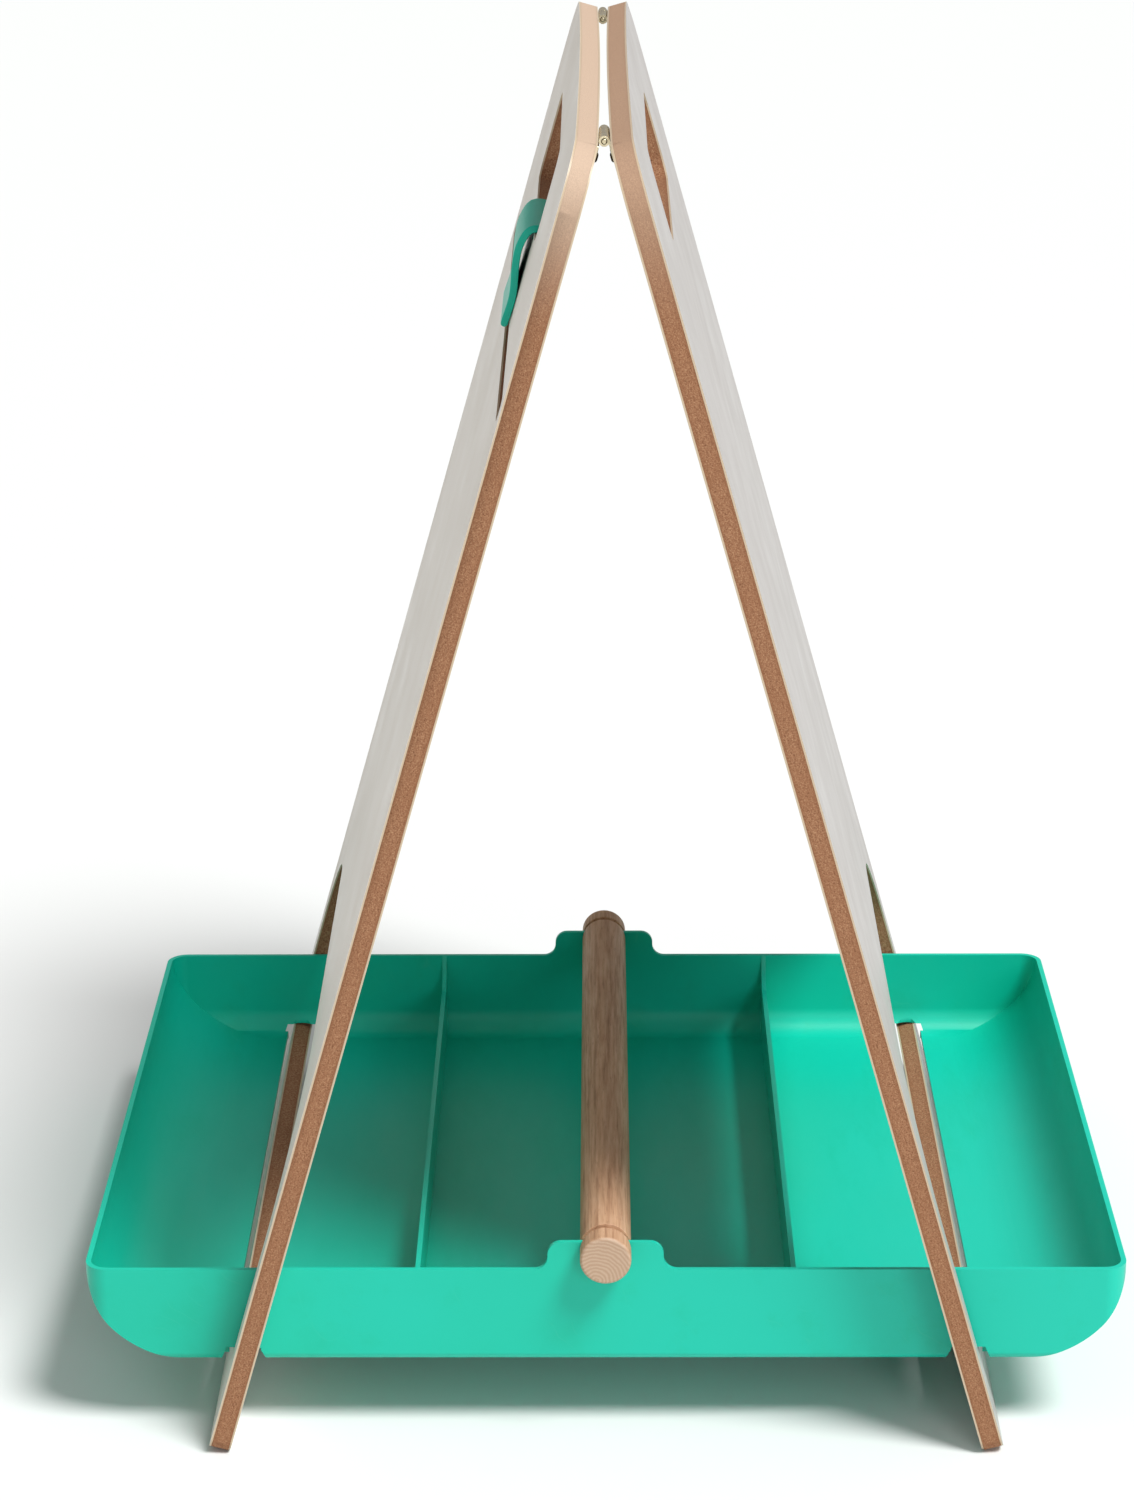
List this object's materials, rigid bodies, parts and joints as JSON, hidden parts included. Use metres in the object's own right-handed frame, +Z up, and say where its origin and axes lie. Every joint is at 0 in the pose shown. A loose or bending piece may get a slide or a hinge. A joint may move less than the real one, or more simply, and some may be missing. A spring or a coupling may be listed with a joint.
{
  "type": "tabletop easel with tray",
  "caption": "Two-sided A-frame children's easel with hinged boards, a paper clip and a moulded tray with a round carrying handle.",
  "frame": {"origin": "on the floor, under the middle of the tray", "axes": "+Z up; +Y along the hinge line, away from the end with the hinge_pin_near; +X to the right board, the one without the paper clip"},
  "size_m": [0.45, 0.412, 0.5688],
  "materials": {
    "fibreboard": "raw cut edge",
    "laminate": "smooth writing surface",
    "green_plastic": "satin moulded",
    "beech": "sanded, unvarnished",
    "hinge_brass": "polished",
    "screw_steel": "dark bronze"
  },
  "bodies": {
    "right_board": {"right_board_core": "fibreboard", "right_board_inner_skin": "laminate", "right_board_outer_skin": "laminate", "right_hinge_leaf_near": "hinge_brass", "right_hinge_leaf_far": "hinge_brass", "right_screw_near_1": "screw_steel", "right_screw_near_2": "screw_steel", "right_screw_far_1": "screw_steel", "right_screw_far_2": "screw_steel", "hinge_pin_near": "hinge_brass", "hinge_pin_far": "hinge_brass"},
    "left_board": {"left_board_core": "fibreboard", "left_board_inner_skin": "laminate", "left_board_outer_skin": "laminate", "left_hinge_leaf_near": "hinge_brass", "left_hinge_leaf_far": "hinge_brass", "left_screw_near_1": "screw_steel", "left_screw_near_2": "screw_steel", "left_screw_far_1": "screw_steel", "left_screw_far_2": "screw_steel"},
    "tray": {"tray": "green_plastic"},
    "handle": {"handle_dowel": "beech"},
    "clip": {"paper_clip": "green_plastic"}
  },
  "joints": [
    {"name": "board_fold", "type": "hinge", "parent": "right_board", "child": "left_board", "pos_m": [0, 0, 0.56169], "axis": [0, 1, 0], "range_deg": [-0.1, 0.1]},
    {"name": "tray_lift", "type": "slide", "parent": "right_board", "child": "tray", "axis": [0, 0, 1], "range_m": [0, 0.007]},
    {"name": "handle_spin", "type": "hinge", "parent": "tray", "child": "handle", "pos_m": [0, 0, 0.0853], "axis": [0, 1, 0], "continuous": true},
    {"name": "clip_slide", "type": "slide", "parent": "left_board", "child": "clip", "axis": [0, 1, 0], "range_m": [-0.01, 0.062]}
  ]
}
